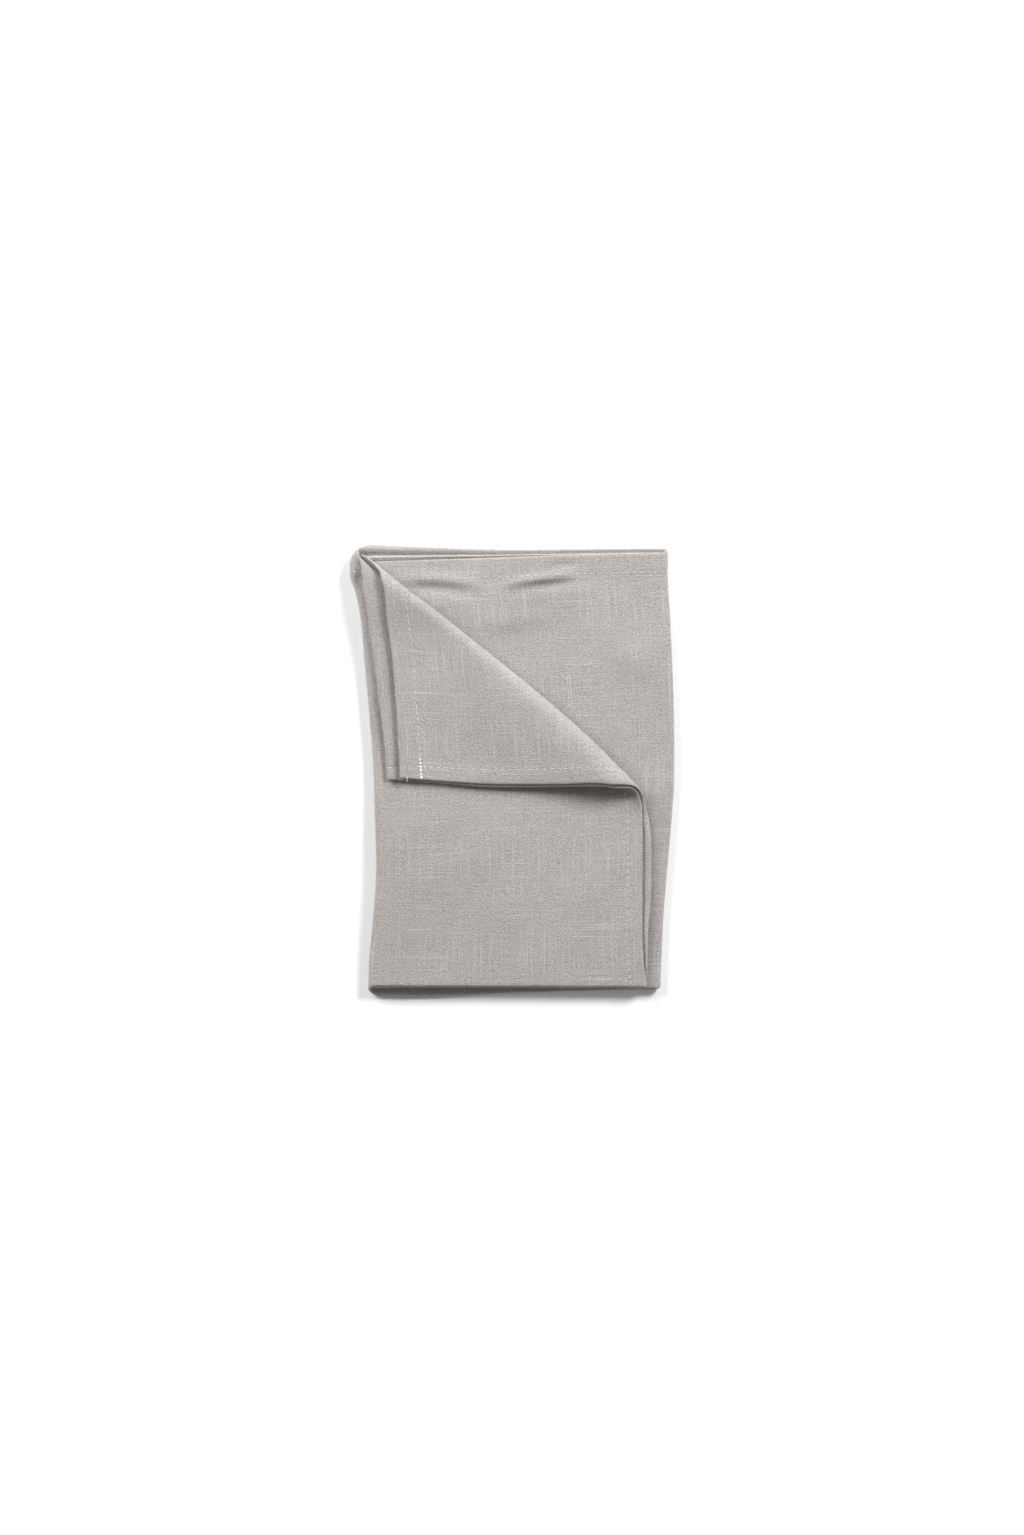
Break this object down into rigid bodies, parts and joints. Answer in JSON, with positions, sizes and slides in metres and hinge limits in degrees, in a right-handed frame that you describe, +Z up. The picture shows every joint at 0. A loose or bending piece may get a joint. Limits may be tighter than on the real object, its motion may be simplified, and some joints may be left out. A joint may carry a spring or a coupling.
{
  "type": "folded cloth napkin",
  "caption": "Square hemmed cloth napkin, folded in half and then in thirds, with the top corner turned back on itself.",
  "frame": {"origin": "on the surface that the napkin rests on, under the middle of its bounding box", "axes": "+Z up off the surface, +Y from the folded near end towards the hemmed far end, +X from the left fold towards the right fold"},
  "size_m": [0.1622, 0.2262, 0.0174],
  "materials": {
    "cloth": "matt warm light-grey slub weave",
    "thread": "matt off-white sewing thread"
  },
  "bodies": {
    "root": {"napkin": "cloth"}
  },
  "joints": []
}
